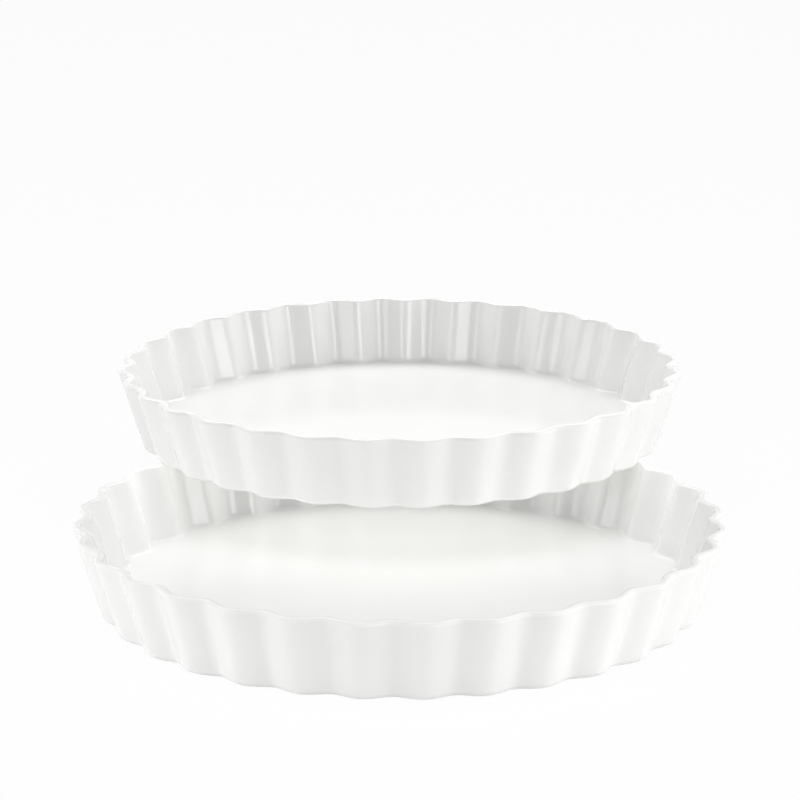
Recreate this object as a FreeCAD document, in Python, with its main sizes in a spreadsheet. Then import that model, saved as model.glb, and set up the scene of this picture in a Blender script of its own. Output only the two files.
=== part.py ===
import FreeCAD, Part
import math
import os
import Sketcher

# Two round porcelain quiche dishes with fluted, sloping walls, in two sizes. The small dish stands on the
# rear rim of the large one. The origin is on the table, under the middle of the set, and +Y is to the rear.

SIZES = [
    ("flute_count", 32, "flutes round each dish"),
    ("flute_roundness", 0.5, "bend of the flutes, where 1 leaves no straight flank between lobe and valley"),
    ("flute_turn", 4.65, "turn of the flutes that brings a valley to the front, degrees"),
    ("wall_slope", 17, "lean of the wall from upright, degrees"),
    ("wall_thickness", 3.8, "wall, measured level and outward"),
    ("floor_thickness", 5.0, "foot to the floor inside"),
    ("bottom_bevel", 3.2, "eased edge under the flutes"),
    ("floor_bevel", 2.6, "eased corner between the wall and the floor inside"),
    ("outer_foot_width", 9.0, "level ring at the edge of the underside"),
    ("inner_foot_diameter", 80.0, "ring that holds up the middle of the underside"),
    ("inner_foot_width", 8.0, "width of that ring"),
    ("foot_depth", 1.2, "height of both rings"),
    ("large_rim_diameter", 300.0, "across the lobes at the rim"),
    ("large_height", 38.5, "foot to rim"),
    ("large_flute_depth", 5.9, "lobe to valley"),
    ("small_rim_diameter", 280.0, "across the lobes at the rim"),
    ("small_height", 36.0, "foot to rim"),
    ("small_flute_depth", 5.5, "lobe to valley"),
    ("rear_offset", 138.0, "small dish behind the middle of the large one"),
    ("rest_gap", 0.2, "small foot above the large rim"),
]
START, END, MIDDLE = 1, 2, 3
LEVEL_AXIS, UPRIGHT_AXIS = -1, -2
ORIGIN = (-1, 1)
UP = FreeCAD.Vector(0, 0, 1)


def value(expression):
    """Number that an expression on the sheet gives now."""
    return float(sheet.evalExpression(expression))


def origin_feature(body, role):
    """Plane or axis of the body's own origin."""
    return next(item for item in body.Origin.OriginFeatures if item.Role == role)


def polar(radius, angle):
    """Point of a sketch at a radius and an angle."""
    return FreeCAD.Vector(radius * math.cos(angle), radius * math.sin(angle), 0)


def add_sketch(body, name, plane):
    """Empty sketch on one of the body's own planes."""
    sketch = body.newObject("Sketcher::SketchObject", name)
    sketch.AttachmentSupport = [(origin_feature(body, plane), "")]
    sketch.MapMode = "FlatFace"
    return sketch


def tie(sketch, kind, *where):
    """Add a geometric constraint to a sketch."""
    sketch.addConstraint(Sketcher.Constraint(kind, *where))


def bind(sketch, name, expression, kind, *where):
    """Add a size to a sketch and tie it to the sheet."""
    index = sketch.addConstraint(Sketcher.Constraint(kind, *where, value(expression)))
    sketch.renameConstraint(index, name)
    sketch.setExpression(f"Constraints.{name}", expression)


def sketch_flute(body, name, level, crest_size, depth_size, hub_size):
    """Sector of one flute: a lobe, two flanks and two half valleys, closed at the sides and the hub."""
    sketch = add_sketch(body, name, "XY_Plane")
    sketch.setExpression("AttachmentOffset.Base.z", level)
    pitch_run = f"(pi * ({crest_size} - {depth_size} / 2) / Sizes.flute_count)"
    bend_size = f"Sizes.flute_roundness * ({pitch_run} ^ 2 + {depth_size} ^ 2) / (4 * {depth_size})"
    half_pitch = math.pi / value("Sizes.flute_count")
    crest, hub, bend = value(crest_size), value(hub_size), value(bend_size)
    valley = crest - value(depth_size)

    lobe_middle = polar(crest - bend, 0)
    left_middle = polar(valley + bend, half_pitch)
    right_middle = polar(valley + bend, -half_pitch)
    across = left_middle - lobe_middle
    turn = math.atan2(across.y, across.x) - math.acos(2 * bend / across.Length)

    def arc(middle, radius, start, end):
        return sketch.addGeometry(Part.ArcOfCircle(Part.Circle(middle, UP, radius), start, end))

    def line(start, end):
        return sketch.addGeometry(Part.LineSegment(start, end))

    lobe = arc(lobe_middle, bend, -turn, turn)
    left_valley = arc(left_middle, bend, math.pi + half_pitch, math.pi + turn)
    right_valley = arc(right_middle, bend, math.pi - turn, math.pi - half_pitch)
    left_flank = line(lobe_middle + polar(bend, turn), left_middle - polar(bend, turn))
    right_flank = line(lobe_middle + polar(bend, -turn), right_middle - polar(bend, -turn))
    left_side = line(polar(hub, half_pitch), polar(valley, half_pitch))
    right_side = line(polar(hub, -half_pitch), polar(valley, -half_pitch))
    hub_arc = arc(FreeCAD.Vector(), hub, -half_pitch, half_pitch)
    tip = sketch.addGeometry(Part.Point(polar(crest, 0)), True)

    tie(sketch, "Tangent", lobe, END, left_flank, START)
    tie(sketch, "Tangent", lobe, START, right_flank, START)
    tie(sketch, "Tangent", left_flank, END, left_valley, END)
    tie(sketch, "Tangent", right_flank, END, right_valley, START)
    tie(sketch, "Coincident", left_valley, START, left_side, END)
    tie(sketch, "Coincident", right_valley, END, right_side, END)
    tie(sketch, "Coincident", hub_arc, MIDDLE, *ORIGIN)
    tie(sketch, "Coincident", hub_arc, END, left_side, START)
    tie(sketch, "Coincident", hub_arc, START, right_side, START)
    tie(sketch, "PointOnObject", *ORIGIN, left_side)
    tie(sketch, "PointOnObject", *ORIGIN, right_side)
    tie(sketch, "PointOnObject", lobe, MIDDLE, LEVEL_AXIS)
    tie(sketch, "PointOnObject", left_valley, MIDDLE, left_side)
    tie(sketch, "PointOnObject", right_valley, MIDDLE, right_side)
    tie(sketch, "PointOnObject", tip, START, LEVEL_AXIS)
    tie(sketch, "PointOnObject", tip, START, lobe)
    tie(sketch, "Equal", lobe, left_valley)
    tie(sketch, "Equal", lobe, right_valley)
    tie(sketch, "Symmetric", left_side, END, right_side, END, LEVEL_AXIS)
    bind(sketch, "crest", crest_size, "DistanceX", *ORIGIN, tip, START)
    bind(sketch, "valley", f"{crest_size} - {depth_size}", "Distance", *ORIGIN, left_side, END)
    bind(sketch, "bend", bend_size, "Radius", lobe)
    bind(sketch, "hub", hub_size, "Radius", hub_arc)
    index = sketch.addConstraint(Sketcher.Constraint("Angle", left_side, half_pitch))
    sketch.renameConstraint(index, "half_pitch")
    sketch.setExpression("Constraints.half_pitch", "180 deg / Sizes.flute_count")
    return sketch


def loft_flute(body, kind, name, sections, depth_size, hub_size):
    """Straight-sided loft of one flute through its level sections, each a height and a lobe radius."""
    sketches = [sketch_flute(body, f"{name}_section_{number}", level, crest_size, depth_size, hub_size)
                for number, (level, crest_size) in enumerate(sections, start=1)]
    feature = body.newObject(kind, name)
    feature.Profile = sketches[0]
    feature.Sections = sketches[1:]
    feature.Ruled = True
    body.Tip = feature


def repeat_flute(body, name):
    """Turn the one finished flute into the whole ring."""
    feature = body.newObject("PartDesign::PolarPattern", name)
    feature.TransformMode = "Whole shape"
    feature.Axis = (origin_feature(body, "Z_Axis"), [""])
    feature.Angle = 360
    feature.setExpression("Occurrences", "Sizes.flute_count")
    feature.Refine = False
    body.Tip = feature


def revolve_floor(body, name, hub_size):
    """Floor inside the ring of flutes, hollowed below between the outer foot and the inner foot ring."""
    foot_outside = "Sizes.inner_foot_diameter / 2"
    foot_inside = f"{foot_outside} - Sizes.inner_foot_width"
    corners = [("0", "Sizes.floor_thickness"), ("0", "Sizes.foot_depth"), (foot_inside, "Sizes.foot_depth"),
               (foot_inside, "0"), (foot_outside, "0"), (foot_outside, "Sizes.foot_depth"),
               (hub_size, "Sizes.foot_depth"), (hub_size, "Sizes.floor_thickness")]
    points = [FreeCAD.Vector(value(across), value(up), 0) for across, up in corners]
    sketch = add_sketch(body, f"{name}_section", "XZ_Plane")
    lines = [sketch.addGeometry(Part.LineSegment(point, points[(number + 1) % len(points)]))
             for number, point in enumerate(points)]
    for number, this_line in enumerate(lines):
        tie(sketch, "Coincident", this_line, END, lines[(number + 1) % len(lines)], START)
        tie(sketch, "Horizontal" if number % 2 else "Vertical", this_line)
    rise, step_in, step_out, to_hub = lines[0], lines[1], lines[3], lines[5]
    tie(sketch, "PointOnObject", rise, START, UPRIGHT_AXIS)
    tie(sketch, "PointOnObject", step_out, START, LEVEL_AXIS)
    tie(sketch, "Equal", lines[2], lines[4])
    bind(sketch, "foot_depth", "Sizes.foot_depth", "DistanceY", *ORIGIN, rise, END)
    bind(sketch, "floor_top", "Sizes.floor_thickness", "DistanceY", *ORIGIN, rise, START)
    bind(sketch, "foot_inside", foot_inside, "DistanceX", *ORIGIN, step_in, END)
    bind(sketch, "foot_outside", foot_outside, "DistanceX", *ORIGIN, step_out, END)
    bind(sketch, "hub", hub_size, "DistanceX", *ORIGIN, to_hub, END)
    feature = body.newObject("PartDesign::Revolution", name)
    feature.Profile = sketch
    feature.ReferenceAxis = (origin_feature(body, "Z_Axis"), [""])
    feature.Angle = 360
    body.Tip = feature


def make_dish(label):
    """One dish: a single flute, hollowed and repeated round the middle, with a floor on foot rings."""
    body = doc.addObject("PartDesign::Body", label)
    size = label.split("_")[0]
    rim = f"Sizes.{size}_rim_diameter / 2"
    height = f"Sizes.{size}_height"
    depth = f"Sizes.{size}_flute_depth"
    floor = "Sizes.floor_thickness"
    lean = "tan(Sizes.wall_slope * 1 deg)"
    base = f"({rim} - {height} * {lean})"
    inner_rim = f"({rim} - Sizes.wall_thickness)"
    inner_base = f"({inner_rim} - ({height} - {floor}) * {lean})"
    hub = f"({base} - Sizes.bottom_bevel - {depth} - Sizes.outer_foot_width)"

    loft_flute(body, "PartDesign::AdditiveLoft", f"{size}_flute_outside",
               [("0", f"({base} - Sizes.bottom_bevel)"),
                ("Sizes.bottom_bevel", f"({base} + Sizes.bottom_bevel * {lean})"),
                (height, rim)], depth, hub)
    loft_flute(body, "PartDesign::SubtractiveLoft", f"{size}_flute_inside",
               [(floor, f"({inner_base} - Sizes.floor_bevel)"),
                (f"{floor} + Sizes.floor_bevel", f"({inner_base} + Sizes.floor_bevel * {lean})"),
                (height, inner_rim)], depth, hub)
    doc.recompute()
    repeat_flute(body, f"{size}_flutes")
    revolve_floor(body, f"{size}_floor", hub)
    body.setExpression("Placement.Rotation.Angle", "Sizes.flute_turn * 1 deg")
    return body


def check(bodies):
    """Stop if an object failed or a body is not one valid solid."""
    failed = [item.Name for item in doc.Objects if {"Invalid", "Error"} & set(item.State)]
    if failed:
        raise RuntimeError(f"failed objects: {failed}")
    for body in bodies:
        if body.Shape.isNull() or not body.Shape.isValid() or len(body.Shape.Solids) != 1:
            raise RuntimeError(f"{body.Label} is not one valid solid")


doc = FreeCAD.newDocument("quiche_dishes")
sheet = doc.addObject("Spreadsheet::Sheet", "Sizes")
for row, (alias, number, meaning) in enumerate(SIZES, start=1):
    sheet.set(f"A{row}", alias)
    sheet.set(f"B{row}", str(number))
    sheet.setAlias(f"B{row}", alias)
    sheet.set(f"C{row}", meaning)
doc.recompute()

large_dish = make_dish("large_dish")
small_dish = make_dish("small_dish")
large_place = "(Sizes.large_rim_diameter - Sizes.small_rim_diameter - 2 * Sizes.rear_offset) / 4"
large_dish.setExpression("Placement.Base.y", large_place)
small_dish.setExpression("Placement.Base.y", f"{large_place} + Sizes.rear_offset")
small_dish.setExpression("Placement.Base.z", "Sizes.large_height + Sizes.rest_gap")
doc.recompute()

check([large_dish, small_dish])
os.makedirs("parts", exist_ok=True)
for dish in (large_dish, small_dish):
    dish.Shape.exportStep(f"parts/{dish.Label}.step")
    box = dish.Shape.BoundBox
    print(f"{dish.Label}: {box.XLength:.2f} x {box.YLength:.2f} x {box.ZLength:.2f} mm,"
          f" volume {dish.Shape.Volume / 1000:.1f} cm3")
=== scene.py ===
"""Looks, light and camera for two fluted porcelain quiche dishes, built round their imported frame."""
import logging
import math
from dataclasses import dataclass, field
from enum import Enum
from typing import Any, Optional, Union

import bpy
import numpy as np
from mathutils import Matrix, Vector


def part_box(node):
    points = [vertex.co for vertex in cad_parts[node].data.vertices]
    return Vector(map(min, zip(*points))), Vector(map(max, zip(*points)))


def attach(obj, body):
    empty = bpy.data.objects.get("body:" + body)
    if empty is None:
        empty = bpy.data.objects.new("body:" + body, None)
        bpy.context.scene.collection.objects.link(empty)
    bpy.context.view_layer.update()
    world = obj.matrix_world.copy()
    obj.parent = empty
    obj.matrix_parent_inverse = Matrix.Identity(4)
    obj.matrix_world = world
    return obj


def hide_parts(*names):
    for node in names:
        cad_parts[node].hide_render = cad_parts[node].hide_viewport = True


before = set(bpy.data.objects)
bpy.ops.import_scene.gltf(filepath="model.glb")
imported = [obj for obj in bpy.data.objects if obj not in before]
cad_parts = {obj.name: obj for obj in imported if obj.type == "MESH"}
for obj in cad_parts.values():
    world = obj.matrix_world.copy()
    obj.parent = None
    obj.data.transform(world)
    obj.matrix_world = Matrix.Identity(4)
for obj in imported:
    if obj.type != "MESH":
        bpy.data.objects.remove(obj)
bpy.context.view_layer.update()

MM = 0.001
QUARTER = math.pi / 2
VALLEY = "valley"
log = logging.getLogger("quiche_dishes")

Pair = tuple[float, float]
Colour = tuple[float, float, float, float]
WHITE: Colour = (1.0, 1.0, 1.0, 1.0)
FLUTED: Pair = (1.0, 1.0)
PLAIN: Pair = (0.0, 0.0)


class Zone(Enum):
    """Named stretches of a dish's section, which take different finishes."""

    UNDERSIDE = "underside"
    FOOT = "foot"
    OUTSIDE = "outside"
    RIM = "rim"
    INSIDE = "inside"
    CORNER = "corner"
    FLOOR = "floor"


@dataclass(frozen=True)
class Station:
    """One point of a dish's section, measured on a lobe.

    Args:
        across: Distance from the dish's axis, in metres.
        up: Height above the foot, in metres.
        heading: Direction of the section here, as an angle from outward, in radians.
        flute: Share of the flutes' depth that shows here, from 0 to 1.
        zone: Stretch of the section that the point belongs to.
    """

    across: float
    up: float
    heading: float
    flute: float
    zone: Zone


class Section:
    """Section of a dish, drawn as straight runs and tangent arcs from the middle of the underside."""

    def __init__(self) -> None:
        """Start with no stations."""
        self.stations: list[Station] = []

    def run(self, start: Pair, end: Pair, zone: Zone, steps: int = 1, flutes: Pair = FLUTED) -> None:
        """Add a straight run.

        Args:
            start: Across and up of its first point.
            end: Across and up of its last point.
            zone: Stretch that its points belong to.
            steps: Number of equal pieces.
            flutes: Share of the flutes' depth at its two ends.
        """
        heading = math.atan2(end[1] - start[1], end[0] - start[0])
        for step in range(steps + 1):
            part = step / steps
            self.stations.append(Station(
                across=start[0] + (end[0] - start[0]) * part,
                up=start[1] + (end[1] - start[1]) * part,
                heading=heading,
                flute=flutes[0] + (flutes[1] - flutes[0]) * part,
                zone=zone))

    def arc(self, middle: Pair, radius: float, turn: Pair, zone: Zone, steps: int,
            flute: float = 1.0) -> None:
        """Add an arc, without its two ends, which the runs beside it hold.

        Args:
            middle: Across and up of its centre.
            radius: Its radius, in metres.
            turn: Angles of its two ends about the centre, in radians.
            zone: Stretch that its points belong to.
            steps: Number of equal pieces.
            flute: Share of the flutes' depth.
        """
        ahead = math.copysign(QUARTER, turn[1] - turn[0])
        for step in range(1, steps):
            angle = turn[0] + (turn[1] - turn[0]) * step / steps
            self.stations.append(Station(
                across=middle[0] + radius * math.cos(angle),
                up=middle[1] + radius * math.sin(angle),
                heading=angle + ahead,
                flute=flute,
                zone=zone))


@dataclass(frozen=True)
class Fineness:
    """Number of mesh pieces along each stretch of a dish.

    Args:
        flute: Columns round one flute.
        wall: Rows up one side of the wall.
        edge: Rows over a large round.
        inner_edge: Rows over the rim's inner round.
        fade: Rows of floor in which the flutes fade out.
        floor: Rows over the plain floor.
        hollow: Rows over the hollow between the foot rings.
        outer_foot: Rows over the outer foot ring.
        inner_foot: Rows over the inner foot ring, and over the hollow within it.
        foot_edge: Rows over the round of a foot ring.
    """

    flute: int = 20
    wall: int = 14
    edge: int = 10
    inner_edge: int = 8
    fade: int = 6
    floor: int = 8
    hollow: int = 5
    outer_foot: int = 4
    inner_foot: int = 2
    foot_edge: int = 4


@dataclass
class FlutedDish:
    """One round dish with a sloping fluted wall, a flat floor and two foot rings.

    Args:
        node: Name of the dish's solid.
        rim_radius: Radius of the rim on a lobe. Every length here is in metres.
        height: Height of the rim above the foot.
        flute_depth: Lobe to valley, before the shares below.
        flute_count: Flutes round the dish.
        flute_turn: Angle of the first lobe about the axis, in radians.
        flank_straightness: How straight the flutes' flanks are, where 0 makes a plain wave.
        outside_breadth: How much broader the lobes are than the valleys outside, where 0 makes them alike.
        inside_breadth: The same inside.
        outside_share: Share of the flutes' depth that shows outside.
        inside_share: The same inside.
        wall_slope: Lean of the wall from upright, in radians.
        wall_thickness: Thickness of the wall, measured level.
        floor_thickness: Foot to the floor inside.
        bottom_round: Radius of the edge under the wall.
        corner_round: Radius of the corner between the wall and the floor inside.
        rim_round: Radius of the rim's two edges.
        outer_foot_width: Width of the foot ring under the wall, inside the valleys.
        inner_foot_radius: Outer radius of the inner foot ring.
        inner_foot_width: Width of the inner foot ring.
        foot_depth: Depth of the hollows beside the foot rings.
        foot_round: Radius of the foot rings' edges.
        fade_reach: Run of floor in which the flutes fade out, in flute depths.
        fade_gap: Gap between that run and the first ring of the plain floor.
        floor_hub: Radius of the last ring of the plain floor, as a share of that where the flutes end.
        underside_hub: Radius of the first ring of the underside, as a share of the inner foot's inner radius.
        fineness: Number of mesh pieces along each stretch.
    """

    node: str
    rim_radius: float
    height: float
    flute_depth: float
    flute_count: int = 32
    flute_turn: float = math.radians(4.4)
    flank_straightness: float = 0.02
    outside_breadth: float = 0.06
    inside_breadth: float = 0.0
    outside_share: float = 0.76
    inside_share: float = 1.0
    wall_slope: float = math.radians(17)
    wall_thickness: float = 3.8 * MM
    floor_thickness: float = 4.4 * MM
    bottom_round: float = 4.3 * MM
    corner_round: float = 2.4 * MM
    rim_round: float = 1.45 * MM
    outer_foot_width: float = 9.0 * MM
    inner_foot_radius: float = 40.0 * MM
    inner_foot_width: float = 8.0 * MM
    foot_depth: float = 1.2 * MM
    foot_round: float = 0.5 * MM
    fade_reach: float = 2.5
    fade_gap: float = 4.0 * MM
    floor_hub: float = 0.12
    underside_hub: float = 0.4
    fineness: Fineness = Fineness()
    middle: Vector = field(init=False)

    def __post_init__(self) -> None:
        """Find the dish's place from its solid."""
        low, high = (Vector(corner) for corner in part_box(self.node))
        self.middle = Vector(((low.x + high.x) / 2, (low.y + high.y) / 2, low.z))

    @property
    def columns(self) -> int:
        """Number of mesh columns round the dish."""
        return self.flute_count * self.fineness.flute

    @property
    def turns(self) -> np.ndarray:
        """Angle of each mesh column about the axis, in radians."""
        return np.arange(self.columns) * (2 * math.pi / self.columns)

    @property
    def object_name(self) -> str:
        """Name of the dish's mesh object."""
        return f"{self.node}_porcelain"

    @property
    def rim_middle(self) -> Vector:
        """Middle of the rim."""
        return self.middle + Vector((0.0, 0.0, self.height))

    def section(self) -> list[Station]:
        """Draw the section of the dish through a lobe.

        Returns:
            Its stations, from the middle of the underside to the middle of the floor.
        """
        lean = math.tan(self.wall_slope)
        blunt = math.tan((QUARTER - self.wall_slope) / 2)
        base = self.rim_radius - self.height * lean
        foot_edge = base - self.bottom_round * blunt
        inner_base = self.rim_radius - self.wall_thickness - (self.height - self.floor_thickness) * lean
        drawing = Section()
        self._draw_underside(drawing, foot_edge)
        self._draw_wall(drawing, base, inner_base, blunt)
        self._draw_floor(drawing, inner_base - self.corner_round * blunt)
        return drawing.stations

    def _draw_underside(self, drawing: Section, foot_edge: float) -> None:
        """Draw the hollow underside and its two foot rings.

        Args:
            drawing: Section that takes the stations.
            foot_edge: Outer radius of the outer foot ring on a lobe, in metres.
        """
        ease = self.foot_round
        deep = self.foot_depth
        outside = self.inner_foot_radius
        inside = outside - self.inner_foot_width
        hub = foot_edge - self.flute_depth - self.outer_foot_width
        turn_down = (QUARTER, 0.0)
        turn_level = (2 * QUARTER, 3 * QUARTER)
        rows = self.fineness
        edge = rows.foot_edge
        first = (self.underside_hub * inside, deep)
        drawing.run(first, (inside - ease, deep), Zone.UNDERSIDE, rows.inner_foot, PLAIN)
        drawing.arc((inside - ease, deep - ease), ease, turn_down, Zone.UNDERSIDE, edge, 0.0)
        drawing.run((inside, deep - ease), (inside, ease), Zone.UNDERSIDE, flutes=PLAIN)
        drawing.arc((inside + ease, ease), ease, turn_level, Zone.FOOT, edge, 0.0)
        drawing.run((inside + ease, 0.0), (outside - ease, 0.0), Zone.FOOT, rows.inner_foot, PLAIN)
        drawing.arc((outside - ease, ease), ease, (-QUARTER, 0.0), Zone.FOOT, edge, 0.0)
        drawing.run((outside, ease), (outside, deep - ease), Zone.UNDERSIDE, flutes=PLAIN)
        drawing.arc((outside + ease, deep - ease), ease, (2 * QUARTER, QUARTER), Zone.UNDERSIDE, edge, 0.0)
        drawing.run((outside + ease, deep), (hub - ease, deep), Zone.UNDERSIDE, rows.hollow, PLAIN)
        drawing.arc((hub - ease, deep - ease), ease, turn_down, Zone.UNDERSIDE, edge, 0.0)
        drawing.run((hub, deep - ease), (hub, ease), Zone.UNDERSIDE, flutes=PLAIN)
        drawing.arc((hub + ease, ease), ease, turn_level, Zone.FOOT, edge, 0.0)
        drawing.run((hub + ease, 0.0), (foot_edge, 0.0), Zone.FOOT, rows.outer_foot, (0.0, 1.0))

    def _draw_wall(self, drawing: Section, base: float, inner_base: float, blunt: float) -> None:
        """Draw the wall, up its outside, over the rim and down its inside.

        Args:
            drawing: Section that takes the stations.
            base: Radius at which the outside would meet the table, in metres.
            inner_base: Radius at which the inside would meet the floor, in metres.
            blunt: Tangent length of a unit round at the section's wide corners, and 1 over it at the others.
        """
        slope = self.wall_slope
        sine, cosine = math.sin(slope), math.cos(slope)
        top = self.height
        rows = self.fineness
        inner_rim = self.rim_radius - self.wall_thickness
        from_bottom = self.bottom_round * blunt
        from_corner = self.corner_round * blunt
        from_outer_rim = self.rim_round / blunt
        from_inner_rim = self.rim_round * blunt
        outer_edge = self.rim_radius - from_outer_rim
        inner_edge = inner_rim + from_inner_rim
        floor = self.floor_thickness

        drawing.arc((base - from_bottom, self.bottom_round), self.bottom_round, (-QUARTER, -slope),
                    Zone.OUTSIDE, rows.edge)
        drawing.run((base + from_bottom * sine, from_bottom * cosine),
                    (self.rim_radius - from_outer_rim * sine, top - from_outer_rim * cosine),
                    Zone.OUTSIDE, rows.wall)
        drawing.arc((outer_edge, top - self.rim_round), self.rim_round, (-slope, QUARTER),
                    Zone.RIM, rows.edge)
        drawing.run((outer_edge, top), (inner_edge, top), Zone.RIM)
        drawing.arc((inner_edge, top - self.rim_round), self.rim_round, (QUARTER, math.pi - slope),
                    Zone.RIM, rows.inner_edge)
        drawing.run((inner_rim - from_inner_rim * sine, top - from_inner_rim * cosine),
                    (inner_base + from_corner * sine, floor + from_corner * cosine),
                    Zone.INSIDE, rows.wall)
        drawing.arc((inner_base - from_corner, floor + self.corner_round), self.corner_round,
                    (-slope, -QUARTER), Zone.CORNER, rows.edge)

    def _draw_floor(self, drawing: Section, edge: float) -> None:
        """Draw the floor inside, where the flutes fade out.

        Args:
            drawing: Section that takes the stations.
            edge: Radius of the floor's edge on a lobe, in metres.
        """
        level = self.floor_thickness
        plain = edge - self.fade_reach * self.flute_depth
        drawing.run((edge, level), (plain, level), Zone.FLOOR, self.fineness.fade, (1.0, 0.0))
        drawing.run((plain - self.fade_gap, level), (self.floor_hub * plain, level), Zone.FLOOR,
                    self.fineness.floor, PLAIN)

    def wave(self, turn: np.ndarray, breadth: float) -> tuple[np.ndarray, np.ndarray]:
        """Give the flutes' wave round the dish.

        Args:
            turn: Angles about the axis, in radians.
            breadth: How much broader the lobes are than the valleys, where 0 makes them alike.

        Returns:
            Share of the depth lost at each angle, 0 on a lobe and 1 in a valley, and its rate of change.
        """
        straight = self.flank_straightness
        phase = self.flute_count * (turn - self.flute_turn)
        even = (np.cos(phase) + straight * np.cos(3 * phase)) / (1 + straight)
        even_rate = -(np.sin(phase) + 3 * straight * np.sin(3 * phase)) / (1 + straight)
        shape = even - breadth * (np.cos(2 * phase) - 1)
        shape_rate = (even_rate + 2 * breadth * np.sin(2 * phase)) * self.flute_count
        return (1 - shape) / 2, -shape_rate / 2

    @staticmethod
    def over_rim(stations: list[Station], outside: float, inside: float) -> list[float]:
        """Give each station a value that changes over the rim.

        Args:
            stations: Section of the dish.
            outside: Value from the underside up to the rim.
            inside: Value from the rim down to the floor.

        Returns:
            One value for each station.
        """
        rim = [place for place, station in enumerate(stations) if station.zone is Zone.RIM]
        return np.interp(range(len(stations)), [rim[0] - 1, rim[-1] + 1], [outside, inside]).tolist()

    def rings(self, stations: list[Station]) -> tuple[np.ndarray, np.ndarray]:
        """Place the mesh points and their normals.

        Args:
            stations: Section of the dish.

        Returns:
            Points and unit normals, each an array of stations by columns by three.
        """
        turn = self.turns
        cosine, sine = np.cos(turn), np.sin(turn)
        level = np.zeros(self.columns)
        breadths = self.over_rim(stations, self.outside_breadth, self.inside_breadth)
        shares = self.over_rim(stations, self.outside_share, self.inside_share)
        points, normals = [], []
        for station, breadth, share in zip(stations, breadths, shares):
            loss, loss_rate = self.wave(turn, breadth)
            depth = self.flute_depth * station.flute * share
            radius = station.across - depth * loss
            radius_rate = -depth * loss_rate
            ring = np.stack([radius * cosine, radius * sine, level + station.up], axis=1)
            points.append(ring + np.array(self.middle))
            round_way = np.stack([radius_rate * cosine - radius * sine,
                                  radius_rate * sine + radius * cosine, level], axis=1)
            out, up = math.cos(station.heading), math.sin(station.heading)
            section_way = np.stack([out * cosine, out * sine, level + up], axis=1)
            normal = np.cross(round_way, section_way)
            normals.append(normal / np.linalg.norm(normal, axis=1)[:, None])
        return np.array(points), np.array(normals)

    def faces(self, rows: int) -> list[tuple[int, ...]]:
        """Join the rings into faces, with one flat face over each end.

        Args:
            rows: Number of rings.

        Returns:
            Point numbers of each face.
        """
        count = self.columns
        quads = [(row * count + column, row * count + (column + 1) % count,
                  (row + 1) * count + (column + 1) % count, (row + 1) * count + column)
                 for row in range(rows - 1) for column in range(count)]
        underside = tuple(range(count - 1, -1, -1))
        floor = tuple(range((rows - 1) * count, rows * count))
        return quads + [underside, floor]

    def build(self, porcelain: bpy.types.Material) -> bpy.types.Object:
        """Make the dish's mesh and dress it.

        Args:
            porcelain: Its finish.

        Returns:
            The new object, in place and riding on its body.
        """
        stations = self.section()
        points, normals = self.rings(stations)
        mesh = bpy.data.meshes.new(self.object_name)
        mesh.from_pydata(points.reshape(-1, 3).tolist(), [], self.faces(len(stations)))
        mesh.shade_smooth()
        mesh.normals_split_custom_set_from_vertices(normals.reshape(-1, 3).tolist())
        for zone in (Zone.FOOT, Zone.FLOOR):
            shares = [1.0 if station.zone is zone else 0.0 for station in stations]
            self._paint(mesh, zone.value, np.repeat(shares, self.columns))
        self._paint(mesh, VALLEY, np.tile(self.wave(self.turns, self.inside_breadth)[0], len(stations)))
        mesh.validate()
        mesh.materials.append(porcelain)
        dish = bpy.data.objects.new(self.object_name, mesh)
        bpy.context.scene.collection.objects.link(dish)
        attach(dish, self.node)
        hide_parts(self.node)
        return dish

    @staticmethod
    def _paint(mesh: bpy.types.Mesh, name: str, values: np.ndarray) -> None:
        """Store one number on each mesh point.

        Args:
            mesh: Mesh that takes the numbers.
            name: Name that a finish reads them by.
            values: One number for each point.
        """
        layer = mesh.attributes.new(name, "FLOAT", "POINT")
        layer.data.foreach_set("value", np.asarray(values, dtype=np.float32))


class Socket:
    """A node's output that Python's operators can reckon with."""

    def __init__(self, graph: "Graph", link: bpy.types.NodeSocket) -> None:
        """Keep the output and the graph it belongs to."""
        self.graph = graph
        self.link = link

    def _math(self, operation: str, first: Any, second: Any) -> "Socket":
        """Add a Math node and give its result."""
        return self.graph.add("ShaderNodeMath", {"operation": operation}, {0: first, 1: second})

    def __add__(self, other: Any) -> "Socket":
        """Sum of this and another value."""
        return self._math("ADD", self, other)

    def __radd__(self, other: Any) -> "Socket":
        """Sum of another value and this."""
        return self._math("ADD", other, self)

    def __sub__(self, other: Any) -> "Socket":
        """This less another value."""
        return self._math("SUBTRACT", self, other)

    def __rsub__(self, other: Any) -> "Socket":
        """Another value less this."""
        return self._math("SUBTRACT", other, self)

    def __mul__(self, other: Any) -> "Socket":
        """Product of this and another value."""
        return self._math("MULTIPLY", self, other)

    def __rmul__(self, other: Any) -> "Socket":
        """Product of another value and this."""
        return self._math("MULTIPLY", other, self)

    def larger(self, other: Any) -> "Socket":
        """Larger of this and another value."""
        return self._math("MAXIMUM", self, other)


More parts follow.
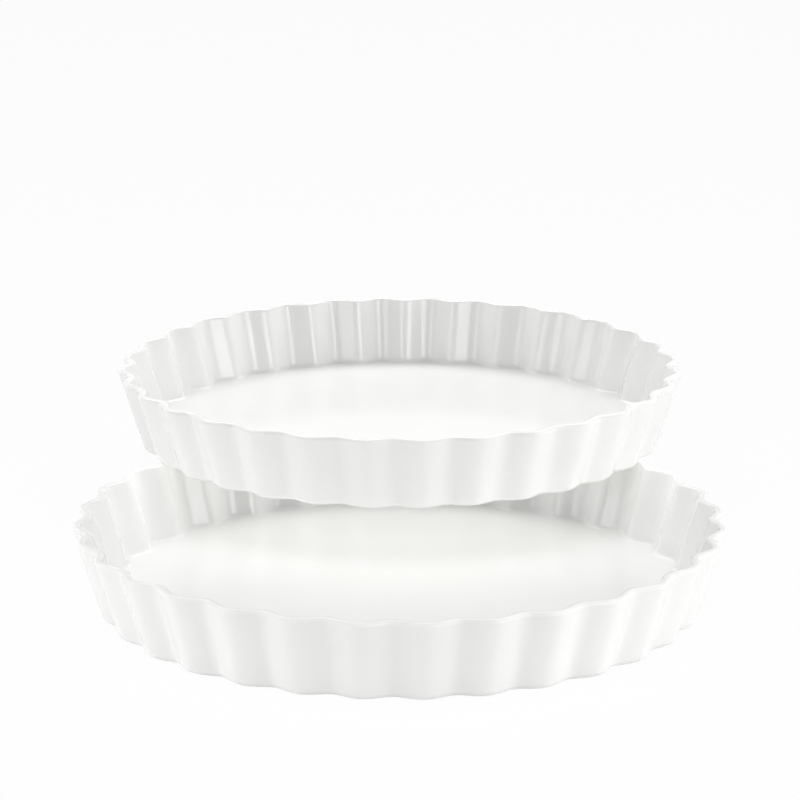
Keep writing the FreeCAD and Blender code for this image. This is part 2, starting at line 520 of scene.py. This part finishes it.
class Graph:
    """Node tree of one material or of the world."""

    MIX_SHARE = 0
    MIX_FIRST_COLOUR = 6
    MIX_SECOND_COLOUR = 7
    MIX_COLOUR = 2

    def __init__(self, tree: bpy.types.NodeTree) -> None:
        """Empty the tree."""
        self.tree = tree
        tree.nodes.clear()

    def add(self, kind: str, settings: Optional[dict[str, Any]] = None,
            values: Optional[dict[Any, Any]] = None, output: Union[int, str] = 0) -> Socket:
        """Add any node.

        Args:
            kind: Type of the node.
            settings: Properties that are set first.
            values: Numbers, colours or links for its inputs, by name or number.
            output: Name or number of the output that is wanted.

        Returns:
            That output, or the first input of a node that has no outputs.
        """
        node = self.tree.nodes.new(kind)
        for name, setting in (settings or {}).items():
            setattr(node, name, setting)
        for name, value in (values or {}).items():
            if isinstance(value, Socket):
                self.tree.links.new(value.link, node.inputs[name])
            else:
                node.inputs[name].default_value = value
        sockets = node.outputs or node.inputs
        return Socket(self, sockets[output])

    def noise(self, size: float, detail: float) -> Socket:
        """Soft noise in the object's own space.

        Args:
            size: Size of its patches, in metres.
            detail: Number of finer layers.

        Returns:
            Its value, about 0.5.
        """
        place = self.add("ShaderNodeTexCoord", output="Object")
        scale = (1 / size, 1 / size, 1 / size)
        scaled = self.add("ShaderNodeVectorMath", {"operation": "MULTIPLY"}, {0: place, 1: scale})
        return self.add("ShaderNodeTexNoise", values={"Vector": scaled, "Scale": 1.0, "Detail": detail})

    def attribute(self, name: str) -> Socket:
        """Number that the mesh holds under a name."""
        return self.add("ShaderNodeAttribute", {"attribute_name": name}, output="Fac")

    def mix(self, share: Any, first: Any, second: Any) -> Socket:
        """Blend two colours.

        Args:
            share: Share of the second colour.
            first: First colour.
            second: Second colour.

        Returns:
            The blend.
        """
        values = {self.MIX_SHARE: share, self.MIX_FIRST_COLOUR: first, self.MIX_SECOND_COLOUR: second}
        return self.add("ShaderNodeMix", {"data_type": "RGBA"}, values, self.MIX_COLOUR)


@dataclass(frozen=True)
class PorcelainFinish:
    """White porcelain under a clear glaze, bare on the foot rings.

    Args:
        name: Name of the material.
        body: Colour under the thinnest glaze.
        pooled: Colour where the glaze is thick.
        bare: Colour without glaze.
        glaze_roughness: Roughness of the glaze.
        floor_roughness: Roughness of the glaze on the floor inside.
        bare_roughness: Roughness without glaze.
        roughness_spread: How far the glaze's roughness wanders.
        refraction: Refractive index of the glaze.
        cloud_size: Size of the patches in which the glaze is thicker or thinner, in metres.
        cloud_pooling: How much those patches show.
        valley_pooling: How much thicker the glaze is in the valleys.
        ripple_size: Size of the glaze's ripples, in metres.
        ripple_height: Height of the ripples, in metres.
        grain_size: Size of the bare body's grain, in metres.
        grain_height: Height of that grain, in metres.
    """

    name: str = "white_porcelain_glaze"
    body: Colour = (0.86, 0.86, 0.852, 1.0)
    pooled: Colour = (0.85, 0.854, 0.842, 1.0)
    bare: Colour = (0.78, 0.765, 0.735, 1.0)
    glaze_roughness: float = 0.07
    floor_roughness: float = 0.1
    bare_roughness: float = 0.72
    roughness_spread: float = 0.03
    refraction: float = 1.52
    cloud_size: float = 45 * MM
    cloud_pooling: float = 0.6
    valley_pooling: float = 0.3
    ripple_size: float = 9 * MM
    ripple_height: float = 0.02 * MM
    grain_size: float = 0.5 * MM
    grain_height: float = 0.06 * MM

    def make(self) -> bpy.types.Material:
        """Build the node material.

        Returns:
            The new material.
        """
        material = bpy.data.materials.new(self.name)
        material.use_nodes = True
        graph = Graph(material.node_tree)
        foot = graph.attribute(Zone.FOOT.value)
        floor = graph.attribute(Zone.FLOOR.value)
        valley = graph.attribute(VALLEY)
        cloud = graph.noise(self.cloud_size, detail=3.0)
        ripple = graph.noise(self.ripple_size, detail=1.0)
        grain = graph.noise(self.grain_size, detail=2.0)
        pooling = cloud * self.cloud_pooling + valley * self.valley_pooling
        colour = graph.mix(foot, graph.mix(pooling, self.body, self.pooled), self.bare)
        roughness = (self.glaze_roughness + (cloud - 0.5) * self.roughness_spread
                     + foot * (self.bare_roughness - self.glaze_roughness)
                     + floor * (self.floor_roughness - self.glaze_roughness))
        height = ripple * (1 - foot) * self.ripple_height + grain * foot * self.grain_height
        bump = graph.add("ShaderNodeBump", values={"Strength": 1.0, "Distance": 1.0, "Height": height})
        shader = graph.add("ShaderNodeBsdfPrincipled", values={
            "Base Color": colour, "Roughness": roughness, "Normal": bump, "IOR": self.refraction})
        graph.add("ShaderNodeOutputMaterial", values={"Surface": shader})
        return material


class Shows(Enum):
    """Where a lamp's light shows."""

    EVERYWHERE = "everywhere"
    ONLY_MIRRORED = "only mirrored"
    NEVER_MIRRORED = "never mirrored"


@dataclass(frozen=True)
class Lamp:
    """One soft area lamp, placed by its bearing from what it lights and facing that.

    Args:
        name: Name of the lamp.
        bearing: Its direction, from the front round to the right, in degrees.
        reach: Its level distance, in metres.
        lift: Its height above what it lights, in metres.
        width: Its width, in metres.
        height: Its height, in metres.
        powers: Its power over each thing that it lights, in watts.
        shows: Where its light shows.
        crosses: Whether both dishes throw shadows in its light, and not only the one that it lights.
    """

    name: str
    bearing: float
    reach: float
    lift: float
    width: float
    height: float
    powers: tuple[float, ...]
    shows: Shows = Shows.EVERYWHERE
    crosses: bool = False

    def build(self, power: float, aim: Vector, lights: str, blocked_by: tuple[str, ...]) -> None:
        """Hang the lamp over one object.

        Args:
            power: Its power, in watts.
            aim: Point that the lamp faces, from which its bearing, reach and lift count.
            lights: Name of the only object that it lights.
            blocked_by: Names of the objects that throw shadows in its light.
        """
        label = f"{self.name}_for_{lights}"
        light = bpy.data.lights.new(label, "AREA")
        light.shape = "RECTANGLE"
        light.size = self.width
        light.size_y = self.height
        light.energy = power
        lamp = bpy.data.objects.new(label, light)
        turn = math.radians(self.bearing)
        lamp.location = aim + Vector((self.reach * math.sin(turn), -self.reach * math.cos(turn), self.lift))
        lamp.rotation_euler = (aim - lamp.location).to_track_quat("-Z", "Y").to_euler()
        lamp.visible_diffuse = self.shows is not Shows.ONLY_MIRRORED
        lamp.visible_glossy = self.shows is not Shows.NEVER_MIRRORED
        bpy.context.scene.collection.objects.link(lamp)
        lamp.light_linking.receiver_collection = self._group(f"{label}_lights", (lights,))
        lamp.light_linking.blocker_collection = self._group(f"{label}_shadows", blocked_by)

    @staticmethod
    def _group(name: str, members: tuple[str, ...]) -> bpy.types.Collection:
        """Collect objects by name."""
        group = bpy.data.collections.new(name)
        for member in members:
            group.objects.link(bpy.data.objects[member])
        return group


DISH_LAMPS = (
    Lamp("rear_sky", bearing=180.0, reach=1.05, lift=1.5, width=2.0, height=0.6, powers=(15.2, 30.0)),
    Lamp("front_sky", bearing=0.0, reach=0.9, lift=1.5, width=1.8, height=0.9, powers=(12.6, 0.5),
         shows=Shows.NEVER_MIRRORED, crosses=True),
    Lamp("front_screen", bearing=0.0, reach=1.5, lift=0.9, width=1.8, height=0.8, powers=(0.5, 10.8),
         shows=Shows.NEVER_MIRRORED, crosses=True),
    Lamp("left_screen", bearing=-90.0, reach=1.5, lift=0.6, width=1.2, height=1.2, powers=(8.8, 10.2),
         shows=Shows.NEVER_MIRRORED),
    Lamp("right_screen", bearing=90.0, reach=1.5, lift=0.6, width=1.2, height=1.2, powers=(13.0, 14.2),
         shows=Shows.NEVER_MIRRORED),
    Lamp("left_low_screen", bearing=-75.0, reach=1.5, lift=-0.02, width=1.2, height=0.03, powers=(6.6, 4.0),
         shows=Shows.NEVER_MIRRORED),
    Lamp("right_low_screen", bearing=57.0, reach=1.5, lift=-0.02, width=1.2, height=0.03, powers=(5.7, 4.9),
         shows=Shows.NEVER_MIRRORED),
    Lamp("front_low_screen", bearing=0.0, reach=1.5, lift=-0.02, width=1.2, height=0.03, powers=(3.2, 1.0),
         shows=Shows.NEVER_MIRRORED),
    Lamp("left_window", bearing=-32.0, reach=2.0, lift=0.6, width=0.85, height=1.2, powers=(6.0, 6.0),
         shows=Shows.ONLY_MIRRORED),
    Lamp("right_window", bearing=32.0, reach=2.0, lift=0.6, width=0.85, height=1.2, powers=(10.5, 10.5),
         shows=Shows.ONLY_MIRRORED),
)
TABLE_LAMP = Lamp("table_light", bearing=0.0, reach=0.5, lift=1.6, width=3.0, height=2.4, powers=(38.0,),
                  crosses=True)


@dataclass
class Studio:
    """Pale floor, soft lamps, white world and the camera.

    Args:
        dishes: The dishes, in the order of each lamp's powers.
        camera_distance: Camera to the middle of the first dish's rim, in metres.
        camera_elevation: Camera's angle above the level, in radians.
        camera_lens: Focal length, in millimetres.
        sensor_width: Width of the camera's sensor, in millimetres.
        aim_lift: Height of the camera's aim above the middle of that rim, in metres.
        world_grey: Light from all round.
        floor_size: Side of the square floor, in metres.
        floor_share: Share of plain white in what the eye sees of the floor.
        floor_colour: Colour of the floor.
    """

    dishes: list[FlutedDish]
    camera_distance: float = 1.5
    camera_elevation: float = math.radians(17.5)
    camera_lens: float = 147.0
    sensor_width: float = 36.0
    aim_lift: float = 55.3 * MM
    world_grey: float = 0.05
    floor_size: float = 6.0
    floor_share: float = 0.96
    floor_colour: Colour = (0.9, 0.9, 0.9, 1.0)

    def build_camera(self) -> None:
        """Set the camera at the photograph's viewing angle."""
        target = self.dishes[0].rim_middle
        away = Vector((0.0, -math.cos(self.camera_elevation), math.sin(self.camera_elevation)))
        data = bpy.data.cameras.new("camera")
        data.lens = self.camera_lens
        data.sensor_width = self.sensor_width
        camera = bpy.data.objects.new("camera", data)
        camera.location = target + away * self.camera_distance
        aim = target + Vector((0.0, 0.0, self.aim_lift))
        camera.rotation_euler = (aim - camera.location).to_track_quat("-Z", "Y").to_euler()
        bpy.context.scene.collection.objects.link(camera)
        bpy.context.scene.camera = camera

    @staticmethod
    def _seen(graph: Graph) -> Socket:
        """Share of the rays that look at the background: camera, mirror and glass rays."""
        camera, mirror, glass = (graph.add("ShaderNodeLightPath", output=f"Is {kind} Ray")
                                 for kind in ("Camera", "Glossy", "Transmission"))
        return camera.larger(mirror.larger(glass))

    def build_world(self) -> None:
        """Light the scene evenly, with a white background behind it."""
        world = bpy.data.worlds.new("studio")
        world.use_nodes = True
        bpy.context.scene.world = world
        graph = Graph(world.node_tree)
        seen = self._seen(graph)
        level = seen + (1 - seen) * self.world_grey
        sky = graph.add("ShaderNodeBackground", values={"Color": WHITE, "Strength": level})
        graph.add("ShaderNodeOutputWorld", values={"Surface": sky})

    def build_floor(self) -> bpy.types.Object:
        """Lay a pale floor that stays white to the eye and still takes a soft shadow.

        Returns:
            The floor.
        """
        half = self.floor_size / 2
        corners = [(-half, -half, 0.0), (half, -half, 0.0), (half, half, 0.0), (-half, half, 0.0)]
        mesh = bpy.data.meshes.new("floor")
        mesh.from_pydata(corners, [], [(0, 1, 2, 3)])
        floor = bpy.data.objects.new("floor", mesh)
        bpy.context.scene.collection.objects.link(floor)
        material = bpy.data.materials.new("pale_floor")
        material.use_nodes = True
        graph = Graph(material.node_tree)
        paper = graph.add("ShaderNodeBsdfDiffuse", values={"Color": self.floor_colour})
        white = graph.add("ShaderNodeEmission", values={"Color": WHITE, "Strength": 1.0})
        share = self._seen(graph) * self.floor_share
        mixed = graph.add("ShaderNodeMixShader", values={0: share, 1: paper, 2: white})
        graph.add("ShaderNodeOutputMaterial", values={"Surface": mixed})
        mesh.materials.append(material)
        return floor

    def build_lamps(self, floor: bpy.types.Object) -> None:
        """Hang the same lamps round each dish, nearly as if it stood alone, and one over the floor.

        Args:
            floor: The floor.
        """
        every_dish = tuple(dish.object_name for dish in self.dishes)
        for number, dish in enumerate(self.dishes):
            for lamp in DISH_LAMPS:
                blocked_by = every_dish if lamp.crosses else (dish.object_name,)
                lamp.build(lamp.powers[number], dish.rim_middle, dish.object_name, blocked_by)
        TABLE_LAMP.build(TABLE_LAMP.powers[0], floor.location, floor.name, every_dish)

    def build(self) -> None:
        """Set up the whole studio."""
        bpy.context.scene.view_settings.view_transform = "Standard"
        self.build_camera()
        self.build_world()
        self.build_lamps(self.build_floor())


def main() -> None:
    """Build both dishes, dress them and set up the studio."""
    logging.basicConfig(level=logging.INFO)
    porcelain = PorcelainFinish().make()
    dishes = [
        FlutedDish("large_dish", rim_radius=150.0 * MM, height=38.5 * MM, flute_depth=4.9 * MM),
        FlutedDish("small_dish", rim_radius=140.0 * MM, height=36.0 * MM, flute_depth=4.6 * MM),
    ]
    for dish in dishes:
        piece = dish.build(porcelain)
        log.info("%s: %d points", piece.name, len(piece.data.vertices))
    Studio(dishes).build()


if __name__ == "__main__":
    main()
